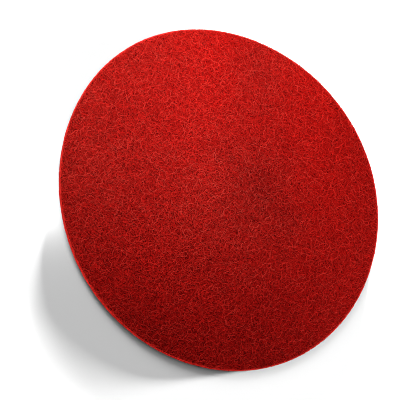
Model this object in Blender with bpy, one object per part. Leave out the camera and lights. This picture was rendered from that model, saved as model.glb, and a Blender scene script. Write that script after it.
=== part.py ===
"""Thin round floor pad of bonded non-woven fibre, which a rotary floor machine turns flat on the floor.

The web is one bonded piece, so the model is one closed disc. Metres, +Z up, origin at the centre of the underside.
"""

import math

import bmesh
import bpy

INCH = 0.0254

PAD_DIAMETER = 17 * INCH
PAD_THICKNESS = 0.25 * INCH
CUT_EDGE_RADIUS = 0.0006  # the die presses the web's edges slightly round
CUT_EDGE_STEPS = 2
RIM_SIDES = 240

PAD_RED = (0.42, 0.02, 0.016, 1.0)
PAD_ROUGHNESS = 0.85


def clear_scene():
    for old in list(bpy.data.objects):
        bpy.data.objects.remove(old, do_unlink=True)


def web_material():
    """Dyed polyester fibre with its resin binder: a dull red with no metal in it."""
    material = bpy.data.materials.new("red_nonwoven")
    material.use_nodes = True
    shader = material.node_tree.nodes["Principled BSDF"]
    shader.inputs["Base Color"].default_value = PAD_RED
    shader.inputs["Roughness"].default_value = PAD_ROUGHNESS
    shader.inputs["Metallic"].default_value = 0.0
    material.diffuse_color = PAD_RED
    return material


def pad_mesh():
    """A disc stamped from flat sheet: its outline, raised by the sheet's thickness."""
    shape = bmesh.new()
    bmesh.ops.create_circle(shape, cap_ends=True, segments=RIM_SIDES, radius=PAD_DIAMETER / 2)
    raised = bmesh.ops.extrude_face_region(shape, geom=shape.faces[:])
    corners = [item for item in raised["geom"] if isinstance(item, bmesh.types.BMVert)]
    bmesh.ops.translate(shape, vec=(0, 0, PAD_THICKNESS), verts=corners)
    bmesh.ops.recalc_face_normals(shape, faces=shape.faces)
    mesh = bpy.data.meshes.new("floor_pad")
    shape.to_mesh(mesh)
    shape.free()
    return mesh


def add_floor_pad():
    pad = bpy.data.objects.new("floor_pad", pad_mesh())
    bpy.context.collection.objects.link(pad)
    pad.data.materials.append(web_material())
    edges = pad.modifiers.new("cut_edges", "BEVEL")
    edges.width = CUT_EDGE_RADIUS
    edges.segments = CUT_EDGE_STEPS
    edges.limit_method = "ANGLE"
    edges.angle_limit = math.radians(60)
    pad.data.shade_smooth()
    pad.data.set_sharp_from_angle(angle=math.radians(40))
    return pad


clear_scene()
add_floor_pad()
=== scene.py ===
"""The looks of the red floor pad: a lofty web of crimped fibre, bonded with resin and cut to a thin disc.

The web is real geometry. A lumpy core stands for its packed middle, and crimped fibres lie in layers over
both faces and run along the cut edge. Everything is sized from the CAD disc, in metres, +Z up.
"""

import math
from collections import namedtuple

import bpy
import numpy as np
from mathutils import Matrix, Vector


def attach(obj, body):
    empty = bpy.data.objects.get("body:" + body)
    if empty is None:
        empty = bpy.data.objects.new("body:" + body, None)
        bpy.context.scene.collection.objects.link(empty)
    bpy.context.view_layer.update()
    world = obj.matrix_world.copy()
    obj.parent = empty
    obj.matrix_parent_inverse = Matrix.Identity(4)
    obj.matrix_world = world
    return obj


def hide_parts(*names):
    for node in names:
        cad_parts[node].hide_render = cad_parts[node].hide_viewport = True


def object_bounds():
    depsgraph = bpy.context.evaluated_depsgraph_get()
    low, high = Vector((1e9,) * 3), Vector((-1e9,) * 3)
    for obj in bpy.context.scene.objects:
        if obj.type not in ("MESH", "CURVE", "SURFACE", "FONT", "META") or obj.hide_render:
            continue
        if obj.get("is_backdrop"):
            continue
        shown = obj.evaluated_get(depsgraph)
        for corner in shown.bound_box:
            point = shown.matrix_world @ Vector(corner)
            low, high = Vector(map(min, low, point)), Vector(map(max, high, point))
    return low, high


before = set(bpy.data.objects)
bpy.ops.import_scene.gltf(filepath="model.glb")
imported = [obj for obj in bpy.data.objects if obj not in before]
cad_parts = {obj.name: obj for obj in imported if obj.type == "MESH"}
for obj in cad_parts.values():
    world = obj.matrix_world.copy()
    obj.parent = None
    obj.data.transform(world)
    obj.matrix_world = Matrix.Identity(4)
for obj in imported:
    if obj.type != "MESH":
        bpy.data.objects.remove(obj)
cad_low, cad_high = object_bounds()

MM = 0.001
SEED = 17

# The disc that CAD gives.
RADIUS = (cad_high.x - cad_low.x) / 2
THICKNESS = cad_high.z - cad_low.z
CENTRE_Z = (cad_high.z + cad_low.z) / 2

# The flexible pad's middle plane lies a little above flat, in long shallow waves. For each: its height, how
# many radians it turns through over one radius in x and in y, and how far on it is at the centre.
WARP_LIFT = 0.6 * MM
WARP_WAVES = [(0.35 * MM, 3.1, 1.3, 0.4), (0.25 * MM, -2.9, 2.2, 1.9)]

# The die cut is a little out of round. For each count of lobes: how high they are and where the first is.
LOBES = {
    2: (0.7 * MM, math.radians(136.0)),
    3: (0.8 * MM, math.radians(-169.5)),
    4: (0.4 * MM, math.radians(-17.0)),
}
CUT_SLANT = 1.2 * MM  # the die leaves the underside this much smaller in radius

# The core, which is a disc of triangles in six sectors, with a lumpy surface.
SECTORS = 6
CORE_INSET = 0.9 * MM
CORE_CELL = 1.72 * MM
CORE_RELIEF = 0.3 * MM

# The shape of every fibre.
FIBRE_SIDES = 3
END_TAPER = 0.5  # a fibre's ends are this share of its radius
FEWEST_STEPS = 3  # a fibre that the cut leaves shorter than this is left out
LEAST_LENGTH = 1e-12  # added to a length before it divides, so that it's never zero
CRIMP_LENGTHS_MM = (7.0, 16.0)
TIGHTEST_CRIMP = 550.0  # the most that a fibre bends, in radians a metre
CRIMP_SHARES = (0.25, 1.0)  # how tight a fibre's crimp is, as a share of the tightest
CURL_SPREAD = 50.0  # how much a fibre turns along its whole length, in radians a metre
GRAIN_HEADING = math.radians(38.6)  # more of the fibres run this way
GRAIN = 0.5  # how far they lean towards it

# The fibres of a face. Their middles are spread with no clumps, by steps of 1/g and 1/g² (g³ = g + 1).
EVEN_STEPS = (0.7548776662466927, 0.5698402909980532)
FACE_INSET = 0.3 * MM  # how far inside the cut they end
FACE_INSET_SPREAD = 0.4 * MM
WEAVE_COUNTS = (1.5, 4.0)  # how often a fibre goes under and over along its length
WEAVE_RISE = 0.26 * MM
TUCKED_SHARE = 0.12  # the share of its length, at each end, that dips into the web
TUCKED_DEPTH = 0.7 * MM
UNTUCKED_BAND = 9.0 * MM  # ends this near the cut dip less, and at the cut not at all

# A layer of fibres: the number of pieces and of fibres in each, how deep it lies under the CAD face, the
# fibres' radii, length and number of steps, and their tones from 0, dark, to 1, light. Deeper layers get
# darker
# tones: painted shade of the web's depths.
Layer = namedtuple("Layer", "name pieces count depth thinnest thickest length steps darkest lightest")
BACKING = Layer(
    name="backing_fibres", pieces=2, count=1600, depth=0.75 * MM, thinnest=0.36 * MM, thickest=0.48 * MM,
    length=36 * MM, steps=20, darkest=0.05, lightest=0.5,
)
UPPER_LAYERS = [
    BACKING,
    Layer(
        name="face_fibres", pieces=2, count=2450, depth=0.5 * MM, thinnest=0.25 * MM, thickest=0.35 * MM,
        length=16 * MM, steps=13, darkest=0.35, lightest=0.8,
    ),
    Layer(
        name="strand_fibres", pieces=2, count=2650, depth=0.2 * MM, thinnest=0.25 * MM, thickest=0.35 * MM,
        length=15 * MM, steps=12, darkest=0.55, lightest=0.95,
    ),
]
LOWER_LAYERS = [
    BACKING._replace(pieces=1),
    Layer(
        name="face_fibres", pieces=1, count=1600, depth=0.35 * MM, thinnest=0.24 * MM, thickest=0.34 * MM,
        length=25 * MM, steps=20, darkest=0.4, lightest=1.0,
    ),
]

# The fibres that run along the cut edge. They wander across it by a share of their crimp's sideways swing.
RIM_LENGTH = 14 * MM
RIM_STEPS = 12
RIM_RADII_MM = (0.2, 0.3)
RIM_TONES = (0.4, 1.0)
EDGE_COUNT = 1500  # at the edge of each face
EDGE_NEAREST = 0.2 * MM  # they lie from this far inside the cut
EDGE_WIDTH = 1.2 * MM  # to this far
EDGE_WANDER = 0.15
EDGE_LEAST_INSET = 0.15 * MM
EDGE_DEPTH = 0.45 * MM
EDGE_DEPTH_SPREAD = 0.12 * MM
EDGE_SAG = 0.1  # how much deeper they lie for each metre from half that width
SIDE_COUNT = 2400  # down the side
SIDE_HEIGHTS = (0.1, 0.8)  # as shares of the thickness
SIDE_LOWEST = 0.2 * MM
SIDE_TOP_GAP = 0.5 * MM
SIDE_WANDER = 0.5
SIDE_INSET = 0.35 * MM
SIDE_INSET_SPREAD = 0.18 * MM

# The reds of a fibre by its tone, and of the core by how high its surface stands. The core's reds are painted
# shade
# of the deep web: darker than the fibres', and darkest where its surface lies low.
FIBRE_COLOURS = [(0.1, (0.2, 0.0006, 0.0004)), (0.5, (0.52, 0.0045, 0.0027)), (0.9, (0.94, 0.0285, 0.0203))]
CORE_SHADED_COLOURS = [(0.0, (0.08, 0.0004, 0.0003)), (0.45, (0.24, 0.0015, 0.001)), (1.0, (0.42, 0.005, 0.0035))]
MOTTLE = 0.2  # the share of a fibre's tone that changes along it
MOTTLE_SCALE = 400.0
HUE_VARIETY = 0.4  # how far a fibre's green and blue may differ from the usual, as a share of them
HUE_STEPS = 97.0  # spreads the fibres' tones over all hues
RIM_LIGHT_COLOUR = (0.95, 0.024, 0.018)  # painted rim light: the cut edge made lighter for the light its fringe catches
RIM_LIGHT_BAND = 5.0 * MM
RIM_LIGHT_SHARE = 0.65  # how far the colour goes towards the painted rim light
MIX_FIRST = 6  # where a colour Mix node has its first colour, its second and its result
MIX_SECOND = 7
MIX_RESULT = 2

# The strands in the core's surface, which are level lines of three noises. The noise is folded, from 0
# between the lines to HALF_FOLD on one, and the strand rises from STRAND_FOOT.
STRAND_SCALES = (170.0, 210.0, 250.0)
STRAND_DETAIL = 1.0
STRAND_LINES = 5.0
HALF_FOLD = 0.5
STRAND_FOOT = 0.2
STRAND_BUMP = 0.6
STRAND_HEIGHT = 0.5 * MM

# Painted shade of the pad's shallow folds: slow lighter and darker bands across the pad. They grow to their
# full
# depth, along the bands and across them: from where, to where, and from what share of it.
FOLD_SHADE_HEADING = math.radians(56.6)  # the bands of painted shade follow one another this way
FOLD_SHADE_SPACING = 172.0 * MM
FOLD_SHADE_START = -36.0 * MM  # the middle of a lighter band
FOLD_SHADE_DEPTH = 0.06
FOLD_SHADE_GROWTH_ALONG = (-100 * MM, 50 * MM, 0.3)
FOLD_SHADE_GROWTH_ACROSS = (-150 * MM, 0.0, 0.2)

# Soft-edged patches of painted shade, from the pad's shallow folds: where each one's middle is, how far it
# reaches along the bands and across them, and how much darker its middle is.
Patch = namedtuple("Patch", "x y half_length half_width depth")
FOLD_SHADE_PATCHES = [
    Patch(12 * MM, 42 * MM, 70 * MM, 52 * MM, 0.21),
    Patch(-122 * MM, 128 * MM, 62 * MM, 44 * MM, 0.1),
    Patch(-52 * MM, 24 * MM, 40 * MM, 36 * MM, 0.12),
    Patch(66 * MM, 54 * MM, 52 * MM, 32 * MM, 0.1),
    Patch(90 * MM, -190 * MM, 75 * MM, 130 * MM, 0.12),
]
# Patches of painted sheen: pale light painted in as more green and blue, which dulls the red. Here the depth
# is how much more green and blue the middle holds.
SHEEN_PATCHES = [
    Patch(-5 * MM, -10 * MM, 165 * MM, 165 * MM, 0.95),
    Patch(-125 * MM, -135 * MM, 190 * MM, 120 * MM, 0.85),
    Patch(-110 * MM, 128 * MM, 90 * MM, 80 * MM, 0.6),
    Patch(-195 * MM, 0 * MM, 95 * MM, 125 * MM, 0.6),
]

# The camera: its height above the pad's plane, how far it is rolled, and its lens.
VIEW_ELEVATION = math.radians(61.2)
VIEW_ROLL = math.radians(60.0)
LENS_MM = 100.0
SENSOR_MM = 36.0
PAD_ON_PICTURE = 0.8792  # the pad's widest extent, as a share of the picture's side
PAD_OFF_CENTRE = (0.0680, 0.01265)  # the pad's centre from the picture's, right and up, as such shares

# The studio.
FLOOR_SIDE = 12.0
FLOOR_MOTTLE_SCALE = 3.0
FLOOR_COLOURS = [(0.0, (0.86, 0.86, 0.86)), (1.0, (0.9, 0.9, 0.9))]
WORLD_LIGHT = 0.04
WORLD_SEEN = 1.0  # the world is plain white where the camera sees it


def smooth_step(x, low, high):
    t = np.clip((x - low) / (high - low), 0.0, 1.0)
    return t * t * (3.0 - 2.0 * t)


def warp(x, y):
    """How far the pad's middle plane lies above flat."""
    waves = sum(
        rise * np.sin(along_x * x / RADIUS + along_y * y / RADIUS + start)
        for rise, along_x, along_y, start in WARP_WAVES
    )
    return WARP_LIFT + waves


def cut_radius(x, y, height=THICKNESS):
    """How far out the die cut lies in the direction of a point, at a height above the underside."""
    angle = np.arctan2(y, x)
    lobes = sum(rise * np.cos(count * angle - turn) for count, (rise, turn) in LOBES.items())
    return RADIUS - CUT_SLANT * (1 - height / THICKNESS) + lobes


def mesh_object(name, points, faces, smooth=True):
    """A mesh from numpy arrays: points (n, 3), and faces as a list of arrays (m, 3) or (m, 4)."""
    mesh = bpy.data.meshes.new(name)
    mesh.vertices.add(len(points))
    mesh.vertices.foreach_set("co", np.asarray(points, np.float32).ravel())
    sizes = np.concatenate([np.full(len(f), f.shape[1], np.int32) for f in faces])
    corners = np.concatenate([f.ravel() for f in faces]).astype(np.int32)
    mesh.loops.add(len(corners))
    mesh.loops.foreach_set("vertex_index", corners)
    mesh.polygons.add(len(sizes))
    starts = np.concatenate([[0], np.cumsum(sizes)[:-1]])
    mesh.polygons.foreach_set("loop_start", starts.astype(np.int32))
    mesh.update(calc_edges=True)
    mesh.polygons.foreach_set("use_smooth", np.full(len(sizes), smooth))
    piece = bpy.data.objects.new(name, mesh)
    bpy.context.scene.collection.objects.link(piece)
    return piece


def crimped_plan(rng, count, length, steps):
    """Fibre centre lines in plan, (count, steps + 1, 2), each with its middle at the origin."""
    step = length / steps
    s = (np.arange(steps + 1) - steps / 2)[None, :] * step
    crimp_length = rng.uniform(*CRIMP_LENGTHS_MM, (count, 1)) * MM
    bend = rng.uniform(*CRIMP_SHARES, (count, 1)) * TIGHTEST_CRIMP
    phase = rng.uniform(0, 2 * math.pi, (count, 1))
    curl = rng.normal(0, CURL_SPREAD, (count, 1))
    heading = rng.uniform(0, 2 * math.pi, (count, 1))
    heading = heading - GRAIN / 2 * np.sin(2 * (heading - GRAIN_HEADING))
    swing = bend * crimp_length / (2 * math.pi)
    heading = heading + curl * s + swing * np.sin(2 * math.pi * s / crimp_length + phase)
    plan = np.cumsum(np.stack([np.cos(heading), np.sin(heading)], -1) * step, axis=1)
    return plan - plan[:, steps // 2][:, None, :]


def cut_to_disc(paths, inset, height):
    """Each path shortened to the run round its middle inside the cut, with the same number of points."""
    count, points = paths.shape[:2]
    x = paths[..., 0]
    y = paths[..., 1]
    outside = np.hypot(x, y) > cut_radius(x, y, height) - inset[:, None]
    index = np.arange(points)[None, :]
    middle = points // 2
    first = np.where(outside & (index < middle), index + 1, 0).max(1)
    last = np.where(outside & (index > middle), index - 1, points - 1).min(1)
    share = np.linspace(0, 1, points)[None, :]
    at = first[:, None] + (last - first)[:, None] * share
    low = np.clip(at.astype(int), 0, points - 2)
    part = (at - low)[..., None]
    rows = np.arange(count)[:, None]
    kept = (last - first >= FEWEST_STEPS) & ~outside[:, middle]
    return (paths[rows, low] * (1 - part) + paths[rows, low + 1] * part)[kept]


def tubes(paths, radii):
    """Closed tubes along paths (n, points, 3): their points and faces."""
    count, points = paths.shape[:2]
    along = np.gradient(paths, axis=1)
    along /= np.linalg.norm(along, axis=-1, keepdims=True) + LEAST_LENGTH
    side = np.cross(along, np.array([0.0, 0.0, 1.0]))
    side /= np.linalg.norm(side, axis=-1, keepdims=True) + LEAST_LENGTH
    over = np.cross(side, along)
    turn = 2 * math.pi * np.arange(FIBRE_SIDES) / FIBRE_SIDES + math.pi / 2
    taper = np.ones(points)
    taper[[0, -1]] = END_TAPER
    reach = radii[:, None] * taper[None, :]
    rings = [paths + reach[..., None] * (math.cos(t) * side + math.sin(t) * over) for t in turn]
    verts = np.stack(rings, axis=2).reshape(-1, 3)
    start = np.arange(count)[:, None, None] * points * FIBRE_SIDES
    ring = np.arange(points - 1)[None, :, None] * FIBRE_SIDES
    corner = np.arange(FIBRE_SIDES)[None, None, :]
    following = (corner + 1) % FIBRE_SIDES
    a = start + ring + corner
    b = start + ring + following
    walls = np.stack([a, b, b + FIBRE_SIDES, a + FIBRE_SIDES], -1).reshape(-1, 4)
    cap = start[:, 0] + np.arange(FIBRE_SIDES)[None, :]
    near = cap[:, ::-1]
    far = cap + (points - 1) * FIBRE_SIDES
    return verts, [walls, near, far]


def add_tone(piece, rng, count, per_fibre, darkest, lightest):
    """Gives each fibre's points its own tone from 0 to 1, which the fibre material reads."""
    attribute = piece.data.attributes.new("tone", "FLOAT", "POINT")
    tone = np.repeat(rng.uniform(darkest, lightest, count), per_fibre)
    attribute.data.foreach_set("value", tone.astype(np.float32))


def evenly_spread(rng, count):
    """Angles and distances of points spread over the disc with no clumps."""
    number = np.arange(count)
    around = 2 * math.pi * ((rng.uniform() + number * EVEN_STEPS[0]) % 1.0)
    out = RADIUS * np.sqrt((rng.uniform() + number * EVEN_STEPS[1]) % 1.0)
    return around, out


def face_fibres(name, rng, layer, upper):
    """One piece of a layer of fibres over a face."""
    around, out = evenly_spread(rng, layer.count)
    middle = np.stack([out * np.cos(around), out * np.sin(around)], -1)
    plan = crimped_plan(rng, layer.count, layer.length, layer.steps) + middle[:, None, :]
    inset = FACE_INSET + rng.normal(0, FACE_INSET_SPREAD, layer.count)
    plan = cut_to_disc(plan, inset, THICKNESS if upper else 0.0)
    count = len(plan)
    share = np.linspace(0, 1, layer.steps + 1)[None, :]
    waves = rng.uniform(*WEAVE_COUNTS, (count, 1))
    under_and_over = np.sin(2 * math.pi * (share * waves + rng.uniform(0, 1, (count, 1))))
    ends = 1 - smooth_step(share, 0, TUCKED_SHARE) + smooth_step(share, 1 - TUCKED_SHARE, 1)
    from_edge = RADIUS - np.hypot(plan[..., 0], plan[..., 1])
    tucked = ends * smooth_step(from_edge, 0, UNTUCKED_BAND)
    depth = layer.depth + WEAVE_RISE * under_and_over + TUCKED_DEPTH * tucked
    height = THICKNESS / 2 - depth
    z = CENTRE_Z + (height if upper else -height) + warp(plan[..., 0], plan[..., 1])
    paths = np.concatenate([plan, z[..., None]], -1)
    verts, faces = tubes(paths, rng.uniform(layer.thinnest, layer.thickest, count))
    piece = mesh_object(name, verts, faces)
    add_tone(piece, rng, count, (layer.steps + 1) * FIBRE_SIDES, layer.darkest, layer.lightest)
    return piece


def side_course(rng, wander):
    """The heights above the underside, and the insets from the cut, of fibres down the side."""
    count = len(wander)
    middle = rng.uniform(*SIDE_HEIGHTS, (count, 1)) * THICKNESS
    height = np.clip(middle + SIDE_WANDER * wander, SIDE_LOWEST, THICKNESS - SIDE_TOP_GAP)
    inset = SIDE_INSET + rng.normal(0, SIDE_INSET_SPREAD, (count, 1))
    return height, inset


def edge_course(rng, wander, upper):
    """The heights and insets of fibres at the edge of the upper or the lower face."""
    count = len(wander)
    inset = rng.uniform(EDGE_NEAREST, EDGE_WIDTH, (count, 1))
    inset = np.maximum(inset + EDGE_WANDER * wander, EDGE_LEAST_INSET)
    sag = EDGE_SAG * np.abs(inset - EDGE_WIDTH / 2)
    depth = EDGE_DEPTH + rng.normal(0, EDGE_DEPTH_SPREAD, (count, 1)) + sag
    return (THICKNESS - depth if upper else depth), inset


def rim_fibres(name, rng, count, place):
    """Fibres that run along the cut edge: down its side, or at the edge of the upper or the lower face."""
    plan = crimped_plan(rng, count, RIM_LENGTH, RIM_STEPS)
    around = rng.uniform(0, 2 * math.pi, count)
    angle = around[:, None] + plan[..., 0] / RADIUS
    if place == "side":
        height, inset = side_course(rng, plan[..., 1])
    else:
        height, inset = edge_course(rng, plan[..., 1], place == "upper")
    reach = cut_radius(np.cos(angle), np.sin(angle), height) - inset
    x = reach * np.cos(angle)
    y = reach * np.sin(angle)
    z = cad_low.z + height + warp(x, y)
    verts, faces = tubes(np.stack([x, y, z], -1), rng.uniform(*RIM_RADII_MM, count) * MM)
    piece = mesh_object(name, verts, faces)
    add_tone(piece, rng, count, (RIM_STEPS + 1) * FIBRE_SIDES, *RIM_TONES)
    return piece


def disc_points(rings):
    """Points in plan on rings inside the cut, and where each ring's points start in the list."""
    points = []
    starts = [0]
    for ring in range(rings + 1):
        count = max(1, SECTORS * ring)
        turn = 2 * math.pi * np.arange(count) / count
        out = (cut_radius(np.cos(turn), np.sin(turn)) - CORE_INSET) * ring / rings
        points.append(np.stack([out * np.cos(turn), out * np.sin(turn)], -1))
        starts.append(starts[-1] + count)
    return np.concatenate(points), starts


def disc_triangles(rings, starts):
    """The triangles between each ring and the one inside it."""
    triangles = []
    for ring in range(1, rings + 1):
        inner, outer = starts[ring - 1 : ring + 1]
        inner_count = max(1, SECTORS * (ring - 1))
        outer_count = SECTORS * ring
        for sector in range(SECTORS):
            for step in range(ring):
                a = outer + (sector * ring + step) % outer_count
                b = outer + (sector * ring + step + 1) % outer_count
                c = inner + (sector * (ring - 1) + step) % inner_count
                triangles.append((a, b, c))
                if step < ring - 1:
                    d = inner + (sector * (ring - 1) + step + 1) % inner_count
                    triangles.append((b, d, c))
    return np.array(triangles)


def web_core(rng):
    """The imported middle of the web: a closed slab with a lumpy surface, a little smaller than the pad."""
    rings = int(RADIUS / CORE_CELL)
    plan, starts = disc_points(rings)
    triangles = disc_triangles(rings, starts)
    half = THICKNESS / 2 - CORE_INSET
    lump = CORE_RELIEF * rng.normal(0, 1, (2, len(plan)))
    rise = warp(plan[:, 0], plan[:, 1])
    top = CENTRE_Z + half + lump[0] + rise
    base = CENTRE_Z - half + lump[1] + rise
    base_plan = plan * (1 - CUT_SLANT / RADIUS)
    verts = np.concatenate([np.column_stack([plan, top]), np.column_stack([base_plan, base])])
    below = len(plan)
    rim = np.arange(starts[rings], starts[rings + 1])
    after = np.roll(rim, -1)
    wall = np.stack([rim + below, after + below, after, rim], -1)
    return mesh_object("web_core", verts, [triangles, triangles[:, ::-1] + below, wall])


class Nodes:
    """Short ways to add and join a material's nodes."""

    def __init__(self, name):
        self.material = bpy.data.materials.new(name)
        self.material.use_nodes = True
        self.tree = self.material.node_tree
        self.shader = self.tree.nodes["Principled BSDF"]

    def add(self, kind, **values):
        node = self.tree.nodes.new("ShaderNode" + kind)
        for key, value in values.items():
            setattr(node, key, value)
        return node

    def join(self, source, target):
        self.tree.links.new(source, target)

    def place(self):
        """Where a point lies on the pad, in metres."""
        return self.add("TexCoord").outputs["Object"]

    def noise(self, scale, detail=2.0, offset=0.0):
        """A smooth noise, from another part of itself for each offset."""
        moved = self.add("VectorMath", operation="ADD")
        moved.inputs[1].default_value = (offset, 0, 0)
        self.join(self.place(), moved.inputs[0])
        noise = self.add("TexNoise")
        noise.inputs["Scale"].default_value = scale
        noise.inputs["Detail"].default_value = detail
        self.join(moved.outputs[0], noise.inputs["Vector"])
        return noise.outputs["Fac"]

    def ramp(self, source, stops):
        """The colour at a value, between stops of position and colour."""
        ramp = self.add("ValToRGB")
        first, *between, last = stops
        for element, (position, colour) in zip(ramp.color_ramp.elements, (first, last)):
            element.position = position
            element.color = (*colour, 1)
        for position, colour in between:
            ramp.color_ramp.elements.new(position).color = (*colour, 1)
        self.join(source, ramp.inputs["Fac"])
        return ramp.outputs["Color"]

    def maths(self, operation, first, second=None):
        node = self.add("Math", operation=operation)
        for value, socket in zip((first, second), node.inputs):
            if value is None:
                continue
            if isinstance(value, (int, float)):
                socket.default_value = value
            else:
                self.join(value, socket)
        return node.outputs[0]

    def band(self, source, low, high, to_low=0.0, to_high=1.0):
        """A value that goes smoothly from one level to another as the source goes from low to high."""
        band = self.add("MapRange", interpolation_type="SMOOTHSTEP")
        band.inputs["From Min"].default_value = low
        band.inputs["From Max"].default_value = high
        band.inputs["To Min"].default_value = to_low
        band.inputs["To Max"].default_value = to_high
        self.join(source, band.inputs["Value"])
        return band.outputs["Result"]

    def rim_light_mask(self):
        """How far the colour goes to the painted rim light: most at the cut edge, and 0 a little way in."""
        flat = self.add("VectorMath", operation="MULTIPLY")
        flat.inputs[1].default_value = (1, 1, 0)
        self.join(self.place(), flat.inputs[0])
        length = self.add("VectorMath", operation="LENGTH")
        self.join(flat.outputs[0], length.inputs[0])
        return self.band(length.outputs["Value"], RADIUS - RIM_LIGHT_BAND, RADIUS, 0.0, RIM_LIGHT_SHARE)

    def along(self, heading, start=0.0):
        """How far a point lies along a level heading, from a start."""
        dot = self.add("VectorMath", operation="DOT_PRODUCT")
        dot.inputs[1].default_value = (math.cos(heading), math.sin(heading), 0)
        self.join(self.place(), dot.inputs[0])
        return self.maths("SUBTRACT", dot.outputs["Value"], start)

    def patch(self, patch):
        """A soft patch's depth, from all of it at its middle to 0 at its edge."""
        squares = []
        for heading, reach in (
            (FOLD_SHADE_HEADING + math.pi / 2, patch.half_length),
            (FOLD_SHADE_HEADING, patch.half_width),
        ):
            start = patch.x * math.cos(heading) + patch.y * math.sin(heading)
            share = self.maths("DIVIDE", self.along(heading, start), reach)
            squares.append(self.maths("MULTIPLY", share, share))
        distance = self.maths("SQRT", self.maths("ADD", *squares))
        return self.band(distance, 0.0, 1.0, patch.depth, 0.0)

    def painted_fold_shade(self):
        """A slow tone near 1: painted shade of the pad's shallow folds, in bands and in dark patches."""
        place = self.along(FOLD_SHADE_HEADING, FOLD_SHADE_START)
        wave = self.maths("COSINE", self.maths("MULTIPLY", place, 2 * math.pi / FOLD_SHADE_SPACING))
        from_place, to_place, least = FOLD_SHADE_GROWTH_ALONG
        lengthways = self.band(self.along(FOLD_SHADE_HEADING + math.pi / 2), from_place, to_place, least, 1.0)
        from_place, to_place, least = FOLD_SHADE_GROWTH_ACROSS
        across = self.band(
            self.along(FOLD_SHADE_HEADING), from_place, to_place, least * FOLD_SHADE_DEPTH, FOLD_SHADE_DEPTH
        )
        tone = self.maths("MULTIPLY", wave, self.maths("MULTIPLY", lengthways, across))
        tone = self.maths("ADD", tone, 1.0)
        for patch in FOLD_SHADE_PATCHES:
            tone = self.maths("SUBTRACT", tone, self.patch(patch))
        return tone

    def fold_shaded(self, colour):
        """The colour, lighter or darker by the painted fold shade."""
        scale = self.add("VectorMath", operation="SCALE")
        self.join(colour, scale.inputs[0])
        self.join(self.painted_fold_shade(), scale.inputs["Scale"])
        return scale.outputs[0]

    def hued_and_sheened(self, colour, share=1.0):
        """The colour, with a share of its green and blue, and more of them where painted sheen dulls the red.
        """
        amount = 1.0
        for patch in SHEEN_PATCHES:
            amount = self.maths("ADD", self.patch(patch), amount)
        amount = self.maths("MULTIPLY", amount, share)
        hue_and_sheen = self.add("CombineXYZ")
        hue_and_sheen.inputs["X"].default_value = 1.0
        self.join(amount, hue_and_sheen.inputs["Y"])
        self.join(amount, hue_and_sheen.inputs["Z"])
        hued_and_sheened = self.add("VectorMath", operation="MULTIPLY")
        self.join(colour, hued_and_sheened.inputs[0])
        self.join(hue_and_sheen.outputs[0], hued_and_sheened.inputs[1])
        return hued_and_sheened.outputs[0]

    def strands(self, scale, offset):
        """Curling lines, like fibres that run through the web: the level lines of a smooth noise."""
        noise = self.noise(scale, STRAND_DETAIL, offset)
        folded = self.maths("PINGPONG", self.maths("MULTIPLY", noise, STRAND_LINES), HALF_FOLD)
        return self.band(folded, STRAND_FOOT, HALF_FOLD)

    def surface(self, colour, roughness, specular):
        """The finished material."""
        self.join(colour, self.shader.inputs["Base Color"])
        self.shader.inputs["Roughness"].default_value = roughness
        self.shader.inputs["Specular IOR Level"].default_value = specular
        return self.material


def fibre_material():
    """Red resin on fibres that each have their own tone and hue, lighter at the cut edge by painted rim
    light, with painted fold shade and painted sheen over the faces.
    """
    nodes = Nodes("fibre_red")
    own_tone = nodes.add("Attribute", attribute_name="tone").outputs["Fac"]
    steady = nodes.maths("MULTIPLY", own_tone, 1 - MOTTLE)
    mottle = nodes.maths("MULTIPLY", nodes.noise(MOTTLE_SCALE), MOTTLE)
    colour = nodes.ramp(nodes.maths("ADD", steady, mottle), FIBRE_COLOURS)
    own_hue = nodes.maths("FRACT", nodes.maths("MULTIPLY", own_tone, HUE_STEPS))
    own_hue = nodes.band(own_hue, 0.0, 1.0, 1.0 - HUE_VARIETY, 1.0 + HUE_VARIETY)
    # The cut edge gets painted rim light; the faces get painted fold shade and painted sheen.
    mix = nodes.add("Mix", data_type="RGBA")
    nodes.join(nodes.rim_light_mask(), mix.inputs["Factor"])
    nodes.join(nodes.hued_and_sheened(nodes.fold_shaded(colour), own_hue), mix.inputs[MIX_FIRST])
    mix.inputs[MIX_SECOND].default_value = (*RIM_LIGHT_COLOUR, 1)
    return nodes.surface(mix.outputs[MIX_RESULT], roughness=0.6, specular=0.05)


def core_material():
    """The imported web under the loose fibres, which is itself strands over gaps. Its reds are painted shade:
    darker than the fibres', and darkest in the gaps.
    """
    nodes = Nodes("web_core_red")
    web = 0.0
    for number, scale in enumerate(STRAND_SCALES):
        web = nodes.maths("MAXIMUM", nodes.strands(scale, float(number)), web)
    bump = nodes.add("Bump")
    bump.inputs["Strength"].default_value = STRAND_BUMP
    bump.inputs["Distance"].default_value = STRAND_HEIGHT
    nodes.join(web, bump.inputs["Height"])
    nodes.join(bump.outputs["Normal"], nodes.shader.inputs["Normal"])
    colour = nodes.hued_and_sheened(nodes.fold_shaded(nodes.ramp(web, CORE_SHADED_COLOURS)))
    return nodes.surface(colour, roughness=0.9, specular=0.04)


def face_layers(rng, side, layers):
    """The fibres of one face, from the core outwards."""
    pieces = []
    for layer in layers:
        for number in range(layer.pieces):
            name = f"{side}_{layer.name}_{number + 1}"
            pieces.append(face_fibres(name, rng, layer, side == "upper"))
    return pieces


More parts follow.
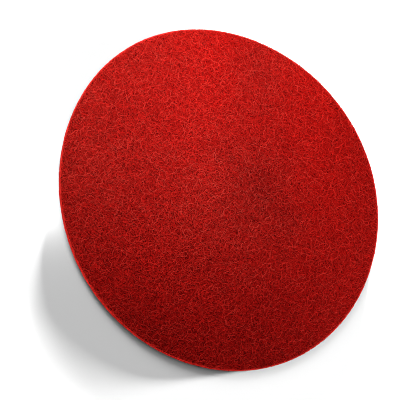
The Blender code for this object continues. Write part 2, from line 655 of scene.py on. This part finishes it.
def build_pad():
    """The pad's pieces: those in the body of the web, those along its faces' edges, and its side."""
    rng = np.random.default_rng(SEED)
    core = web_core(rng)
    core.data.materials.append(core_material())
    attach(core, "root")
    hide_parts("floor_pad")
    red = fibre_material()
    body = face_layers(rng, "upper", UPPER_LAYERS) + face_layers(rng, "lower", LOWER_LAYERS)
    edge = [rim_fibres(f"{place}_edge_fibres", rng, EDGE_COUNT, place) for place in ("upper", "lower")]
    side = rim_fibres("side_fibres", rng, SIDE_COUNT, "side")
    for piece in [*body, *edge, side]:
        piece.data.materials.append(red)
        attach(piece, "root")
    return [core, *body], edge, side


def camera_frame():
    """The camera's right, up and back axes, and where it stands."""
    back = Vector((0, -math.cos(VIEW_ELEVATION), math.sin(VIEW_ELEVATION)))
    right = Vector((1, 0, 0))
    up = back.cross(right)
    turn = Matrix.Rotation(VIEW_ROLL, 3, back)
    right = turn @ right
    up = turn @ up
    distance = 2 * RADIUS * LENS_MM / (SENSOR_MM * PAD_ON_PICTURE)
    picture_width = distance * SENSOR_MM / LENS_MM
    shift_right = -PAD_OFF_CENTRE[0] * picture_width
    shift_up = -PAD_OFF_CENTRE[1] * picture_width
    target = Vector((0, 0, CENTRE_Z)) + right * shift_right + up * shift_up
    return right, up, back, target + back * distance


def add_camera():
    right, up, back, place = camera_frame()
    data = bpy.data.cameras.new("camera")
    data.lens = LENS_MM
    data.sensor_width = SENSOR_MM
    camera = bpy.data.objects.new("camera", data)
    axes = Matrix((right, up, back)).transposed()
    camera.matrix_world = Matrix.Translation(place) @ axes.to_4x4()
    bpy.context.scene.collection.objects.link(camera)
    bpy.context.scene.camera = camera


def picture_direction(degrees):
    """The level direction that points that way in the picture, from 0 at its right to 90 at its top."""
    right, up, back, _ = camera_frame()
    angle = math.radians(degrees)
    across = right * math.cos(angle) + up * math.sin(angle)
    along_view = across - back * (across.z / back.z)
    return Vector((along_view.x, along_view.y, 0)).normalized()


def soft_box(name, towards, away, height, aim, size, power, receivers):
    """A round soft light near the pad, which stands away from the middle and aims at a point the same way."""
    data = bpy.data.lights.new(name, "AREA")
    data.shape = "DISK"
    data.size = size
    data.energy = power
    light = bpy.data.objects.new(name, data)
    level = picture_direction(towards)
    light.location = level * away + Vector((0, 0, height))
    light.rotation_mode = "QUATERNION"
    light.rotation_quaternion = (level * aim - light.location).to_track_quat("-Z", "Y")
    light.visible_camera = False
    bpy.context.scene.collection.objects.link(light)
    light.light_linking.receiver_collection = receivers


def far_light(name, towards, elevation, spread, strength, receivers):
    """A far soft light, whose light is even over the whole floor."""
    data = bpy.data.lights.new(name, "SUN")
    data.energy = strength
    data.angle = math.radians(spread)
    light = bpy.data.objects.new(name, data)
    rise = math.radians(elevation)
    towards_light = picture_direction(towards) * math.cos(rise) + Vector((0, 0, math.sin(rise)))
    light.rotation_mode = "QUATERNION"
    light.rotation_quaternion = (-towards_light).to_track_quat("-Z", "Y")
    bpy.context.scene.collection.objects.link(light)
    light.light_linking.receiver_collection = receivers


def add_floor():
    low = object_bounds()[0].z
    half = FLOOR_SIDE / 2
    corners = np.array([(-half, -half, low), (half, -half, low), (half, half, low), (-half, half, low)])
    floor = mesh_object("floor", corners, [np.array([[0, 1, 2, 3]])], smooth=False)
    nodes = Nodes("floor_white")
    colour = nodes.ramp(nodes.noise(FLOOR_MOTTLE_SCALE), FLOOR_COLOURS)
    floor.data.materials.append(nodes.surface(colour, roughness=1.0, specular=0.0))
    floor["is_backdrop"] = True
    return floor


def add_world():
    world = bpy.data.worlds.new("world")
    bpy.context.scene.world = world
    world.use_nodes = True
    tree = world.node_tree
    background = tree.nodes["Background"]
    background.inputs["Color"].default_value = (1, 1, 1, 1)
    path = tree.nodes.new("ShaderNodeLightPath")
    strength = tree.nodes.new("ShaderNodeMapRange")
    strength.inputs["To Min"].default_value = WORLD_LIGHT
    strength.inputs["To Max"].default_value = WORLD_SEEN
    tree.links.new(path.outputs["Is Camera Ray"], strength.inputs["Value"])
    tree.links.new(strength.outputs["Result"], background.inputs["Strength"])


def light_group(name, pieces):
    """A collection of the pieces that a light falls on."""
    collection = bpy.data.collections.new(name)
    for piece in pieces:
        collection.objects.link(piece)
    return collection


def light_pad(body, edge, side):
    """The pad's own lights. None of them reaches the floor."""
    whole = light_group("pad_only", [*body, *edge, side])
    edges = light_group("edge_only", edge)
    sides = light_group("side_only", [side])
    # The main light comes from the top of the picture, and two weaker ones even out the face.
    soft_box("key", 97.5, away=0.35, height=0.40, aim=0.45, size=0.45, power=4.09, receivers=whole)
    soft_box("fill", -33.0, away=0.40, height=0.20, aim=0.0, size=0.30, power=1.01, receivers=whole)
    soft_box("middle", 160.0, away=0.15, height=0.30, aim=0.074, size=0.20, power=0.61, receivers=whole)
    # These make the cut edge and its near side lighter than the face.
    far_light("edge_top", 0.0, elevation=25.0, spread=50.0, strength=1.45, receivers=edges)
    far_light("side_front", 195.0, elevation=14.0, spread=60.0, strength=5.2, receivers=sides)


def light_floor(floor):
    """The floor's own lights, which make its white and the pad's shadow on it."""
    ground = light_group("floor_only", [floor])
    # Either of these alone keeps the floor nearly white. A wide grey shadow lies where the pad hides both.
    far_light("low_top", 81.0, elevation=1.74, spread=5.35, strength=57.5, receivers=ground)
    far_light("low_right", 4.2, elevation=2.28, spread=7.33, strength=43.0, receivers=ground)
    # The first lights the grey shadow, except a dark strip close to the pad. The second lights both.
    far_light("contact", 108.0, elevation=28.7, spread=32.8, strength=1.96, receivers=ground)
    far_light("overhead", 88.0, elevation=78.0, spread=73.0, strength=0.76, receivers=ground)
    # Small lights beside the pad clear the floor at its left edge.
    for name, towards, away, height, power in (
        ("floor_left", 185.0, 0.236, 0.037, 0.0135),
        ("floor_upper_left", 174.0, 0.232, 0.03, 0.008),
    ):
        soft_box(name, towards, away, height, aim=away, size=0.02, power=power, receivers=ground)


def set_view():
    """Plain colours, sharp edges, and surfaces that don't light each other."""
    scene = bpy.context.scene
    scene.view_settings.view_transform = "Standard"
    scene.cycles.filter_width = 1.0
    scene.cycles.diffuse_bounces = 0
    scene.cycles.use_denoising = True
    scene.cycles.denoising_prefilter = "NONE"


pad_body, pad_edge, pad_side = build_pad()
add_camera()
floor_piece = add_floor()
light_pad(pad_body, pad_edge, pad_side)
light_floor(floor_piece)
add_world()
set_view()

bpy.context.view_layer.update()
